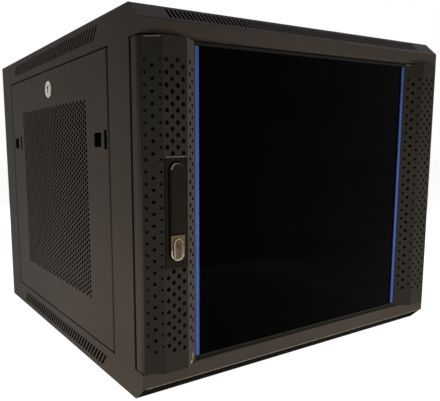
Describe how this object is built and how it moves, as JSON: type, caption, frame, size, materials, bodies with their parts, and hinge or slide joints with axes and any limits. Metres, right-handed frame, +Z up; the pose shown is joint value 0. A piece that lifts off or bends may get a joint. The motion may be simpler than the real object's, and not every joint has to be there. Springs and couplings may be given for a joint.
{
  "type": "wall mount network cabinet",
  "caption": "Wall-mounted 19-inch network cabinet with vented frames, a hinged glass door between perforated stiles with a swing-handle lock, and latched side panels that tilt out.",
  "frame": {"origin": "middle of the underside, on the surface that the cabinet stands on", "axes": "+Z up, +Y out of the back towards the wall, +X to the right for someone facing the door"},
  "size_m": [0.604, 0.6212, 0.501],
  "materials": {
    "body_paint": "fine textured powder coat",
    "bay_paint": "powder coat",
    "zinc": "zinc plated",
    "glass": "tinted toughened glass",
    "blue_trim": "satin",
    "handle_paint": "satin",
    "lock_chrome": "polished",
    "lock_head_nickel": "satin",
    "cover_steel": "satin",
    "latch_plastic": "matte"
  },
  "bodies": {
    "cabinet": {"top_front_member": "body_paint", "top_left_member": "body_paint", "bottom_front_member": "body_paint", "bottom_left_member": "body_paint", "top_right_member": "body_paint", "bottom_right_member": "body_paint", "top_rear_member": "body_paint", "bottom_rear_member": "body_paint", "top_plate": "body_paint", "bottom_plate": "body_paint", "top_cable_cover": "body_paint", "bottom_cable_cover": "body_paint", "front_post_left": "body_paint", "front_post_right": "body_paint", "rear_post_left": "body_paint", "rear_post_right": "body_paint", "rear_panel": "body_paint", "upper_brace_left": "bay_paint", "upper_brace_right": "bay_paint", "lower_brace_left": "bay_paint", "lower_brace_right": "bay_paint", "front_rack_rail_left": "bay_paint", "front_rack_rail_right": "bay_paint", "rear_rack_rail_left": "bay_paint", "rear_rack_rail_right": "bay_paint", "rail_nut_plates": "zinc", "earth_stud": "zinc"},
    "door": {"door_stile_left": "body_paint", "door_stile_right": "body_paint", "door_rail_top": "body_paint", "door_rail_bottom": "body_paint", "door_glass": "glass", "trim_strip_left": "blue_trim", "trim_strip_right": "blue_trim", "hinge_pins": "zinc", "handle_housing": "handle_paint", "handle_lock_head": "lock_head_nickel"},
    "handle_spindle": {"handle_rotor": "zinc", "handle_lever_pin": "zinc", "door_latch_cam": "zinc"},
    "handle_lever": {"handle_lever": "handle_paint"},
    "key_plug": {"handle_key_plug": "zinc"},
    "dust_cover": {"handle_dust_cover": "cover_steel"},
    "left_panel": {"left_side_panel": "body_paint", "left_latch_housings": "latch_plastic", "left_lock_barrel": "lock_chrome"},
    "left_front_latch": {"left_front_latch": "latch_plastic"},
    "left_rear_latch": {"left_rear_latch": "latch_plastic"},
    "left_lock_plug": {"left_lock_plug": "zinc"},
    "right_panel": {"right_side_panel": "body_paint", "right_latch_housings": "latch_plastic", "right_lock_barrel": "lock_chrome"},
    "right_front_latch": {"right_front_latch": "latch_plastic"},
    "right_rear_latch": {"right_rear_latch": "latch_plastic"},
    "right_lock_plug": {"right_lock_plug": "zinc"}
  },
  "joints": [
    {"name": "door_hinge", "type": "hinge", "parent": "cabinet", "child": "door", "pos_m": [0.292, -0.2925, 0.2505], "axis": [0, 0, 1], "range_deg": [0, 160]},
    {"name": "handle_turn", "type": "hinge", "parent": "door", "child": "handle_spindle", "pos_m": [-0.25725, -0.315, 0.3015], "axis": [0, -1, 0], "range_deg": [0, 90]},
    {"name": "lever_lift", "type": "hinge", "parent": "handle_spindle", "child": "handle_lever", "pos_m": [-0.25725, -0.3173, 0.3015], "axis": [-1, 0, 0], "range_deg": [0, 30]},
    {"name": "key_turn", "type": "hinge", "parent": "door", "child": "key_plug", "pos_m": [-0.25725, -0.319, 0.1975], "axis": [0, -1, 0], "range_deg": [0, 90]},
    {"name": "dust_cover_swing", "type": "hinge", "parent": "door", "child": "dust_cover", "pos_m": [-0.25725, -0.3193, 0.2097], "axis": [0, -1, 0], "range_deg": [0, 90]},
    {"name": "left_panel_tilt", "type": "hinge", "parent": "cabinet", "child": "left_panel", "pos_m": [-0.3, 0.0095, 0.041], "axis": [0, -1, 0], "range_deg": [0, 30]},
    {"name": "left_front_latch_slide", "type": "slide", "parent": "left_panel", "child": "left_front_latch", "axis": [0, 1, 0], "range_m": [0, 0.006], "stiffness_N_per_m": 150, "springref_m": -0.004},
    {"name": "left_rear_latch_slide", "type": "slide", "parent": "left_panel", "child": "left_rear_latch", "axis": [0, -1, 0], "range_m": [0, 0.006], "stiffness_N_per_m": 150, "springref_m": -0.004},
    {"name": "left_lock_turn", "type": "hinge", "parent": "left_panel", "child": "left_lock_plug", "pos_m": [-0.3, 0.0095, 0.428], "axis": [-1, 0, 0], "range_deg": [0, 90]},
    {"name": "right_panel_tilt", "type": "hinge", "parent": "cabinet", "child": "right_panel", "pos_m": [0.3, 0.0095, 0.041], "axis": [0, 1, 0], "range_deg": [0, 30]},
    {"name": "right_front_latch_slide", "type": "slide", "parent": "right_panel", "child": "right_front_latch", "axis": [0, 1, 0], "range_m": [0, 0.006], "stiffness_N_per_m": 150, "springref_m": -0.004},
    {"name": "right_rear_latch_slide", "type": "slide", "parent": "right_panel", "child": "right_rear_latch", "axis": [0, -1, 0], "range_m": [0, 0.006], "stiffness_N_per_m": 150, "springref_m": -0.004},
    {"name": "right_lock_turn", "type": "hinge", "parent": "right_panel", "child": "right_lock_plug", "pos_m": [0.3, 0.0095, 0.428], "axis": [1, 0, 0], "range_deg": [0, 90]}
  ]
}
